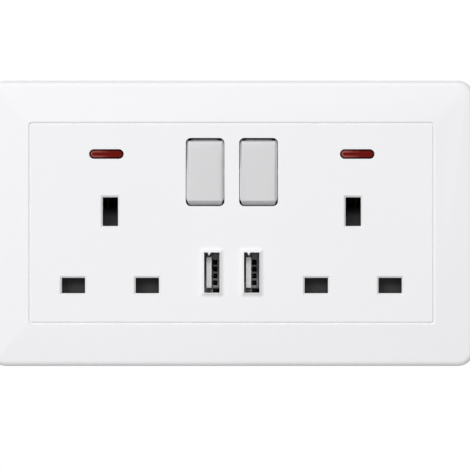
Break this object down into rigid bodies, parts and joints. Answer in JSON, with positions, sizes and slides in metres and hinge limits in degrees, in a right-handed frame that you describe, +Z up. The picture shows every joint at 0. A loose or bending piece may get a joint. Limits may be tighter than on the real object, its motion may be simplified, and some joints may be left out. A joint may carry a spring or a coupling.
{
  "type": "double switched wall socket with usb ports",
  "caption": "Flush wall plate with two switched three-pin outlets, shutters, indicator windows and USB-A charging ports, on a frame and rear housing with busbars and terminals.",
  "frame": {"origin": "midpoint of the two fixing holes, on the wall plane", "axes": "+X to the right seen from the front, +Y into the wall, +Z up"},
  "size_m": [0.146, 0.0349, 0.086],
  "materials": {
    "cover_plastic": "smooth moulded white",
    "rocker_plastic": "smooth moulded pale grey white",
    "frame_plastic": "matt moulded dark grey",
    "housing_plastic": "matt moulded dark grey",
    "shutter_plastic": "matt dark grey",
    "lens_red": "dark red, part clear",
    "bulb_glass": "clear glass",
    "brass": "stamped and bright",
    "silver": "satin silver",
    "spring_steel": "drawn wire",
    "plated_screw": "zinc plated",
    "tinned_wire": "tinned",
    "resistor_body": "lacquered tan",
    "port_shell": "folded sheet, nickel plated",
    "port_plastic": "moulded white",
    "port_contact": "gold flashed",
    "board_laminate": "green lacquered laminate",
    "ferrite": "matt sintered",
    "copper_wire": "enamelled copper turns under tape",
    "capacitor_sleeve": "shrunk sleeve",
    "chip_plastic": "moulded black"
  },
  "bodies": {
    "socket": {"front_cover": "cover_plastic", "frame": "frame_plastic", "rear_housing": "housing_plastic", "assembly_screws": "plated_screw", "live_busbar": "brass", "neutral_busbar": "brass", "earth_busbar": "brass", "usb_board": "board_laminate", "transformer_core": "ferrite", "transformer_winding": "copper_wire", "capacitor_input": "capacitor_sleeve", "capacitor_output": "capacitor_sleeve", "usb_chip": "chip_plastic", "terminal_live": "brass", "terminal_screw_live": "plated_screw", "terminal_neutral": "brass", "terminal_screw_neutral": "plated_screw", "terminal_earth_left": "brass", "terminal_screw_earth_left": "plated_screw", "terminal_earth_right": "brass", "terminal_screw_earth_right": "plated_screw", "fixed_tip_left": "silver", "switched_strip_left": "brass", "contact_tray_left": "frame_plastic", "shutter_spring_left": "spring_steel", "neon_lens_left": "lens_red", "neon_bulb_left": "bulb_glass", "neon_leads_left": "tinned_wire", "neon_resistor_left": "resistor_body", "usb_shell_left": "port_shell", "usb_tongue_left": "port_plastic", "usb_contacts_left": "port_contact", "fixed_tip_right": "silver", "switched_strip_right": "brass", "contact_tray_right": "frame_plastic", "shutter_spring_right": "spring_steel", "neon_lens_right": "lens_red", "neon_bulb_right": "bulb_glass", "neon_leads_right": "tinned_wire", "neon_resistor_right": "resistor_body", "usb_shell_right": "port_shell", "usb_tongue_right": "port_plastic", "usb_contacts_right": "port_contact"},
    "rocker_body_left": {"rocker_left": "rocker_plastic", "plunger_left": "frame_plastic", "plunger_spring_left": "spring_steel"},
    "switch_arm_body_left": {"switch_arm_left": "brass", "moving_tip_left": "silver"},
    "shutter_body_left": {"shutter_left": "shutter_plastic"},
    "rocker_body_right": {"rocker_right": "rocker_plastic", "plunger_right": "frame_plastic", "plunger_spring_right": "spring_steel"},
    "switch_arm_body_right": {"switch_arm_right": "brass", "moving_tip_right": "silver"},
    "shutter_body_right": {"shutter_right": "shutter_plastic"}
  },
  "joints": [
    {"name": "rocker_tip_left", "type": "hinge", "parent": "socket", "child": "rocker_body_left", "pos_m": [-0.00803, -0.005, 0.0154], "axis": [1, 0, 0], "range_deg": [0, 13]},
    {"name": "switch_arm_tip_left", "type": "hinge", "parent": "socket", "child": "switch_arm_body_left", "pos_m": [-0.00803, 0.00625, 0.0154], "axis": [1, 0, 0], "range_deg": [-24.1, 0]},
    {"name": "shutter_slide_left", "type": "slide", "parent": "socket", "child": "shutter_body_left", "axis": [0, 0, -1], "range_m": [0, 0.0055], "stiffness_N_per_m": 150, "springref_m": -0.003, "deforming": ["shutter_spring_left"]},
    {"name": "rocker_tip_right", "type": "hinge", "parent": "socket", "child": "rocker_body_right", "pos_m": [0.00803, -0.005, 0.0154], "axis": [1, 0, 0], "range_deg": [0, 13]},
    {"name": "switch_arm_tip_right", "type": "hinge", "parent": "socket", "child": "switch_arm_body_right", "pos_m": [0.00803, 0.00625, 0.0154], "axis": [1, 0, 0], "range_deg": [-24.1, 0]},
    {"name": "shutter_slide_right", "type": "slide", "parent": "socket", "child": "shutter_body_right", "axis": [0, 0, -1], "range_m": [0, 0.0055], "stiffness_N_per_m": 150, "springref_m": -0.003, "deforming": ["shutter_spring_right"]}
  ],
  "couplings": [
    {"joint": "switch_arm_tip_left", "follows": "rocker_tip_left", "ratio": -1.846},
    {"joint": "switch_arm_tip_right", "follows": "rocker_tip_right", "ratio": -1.846}
  ]
}
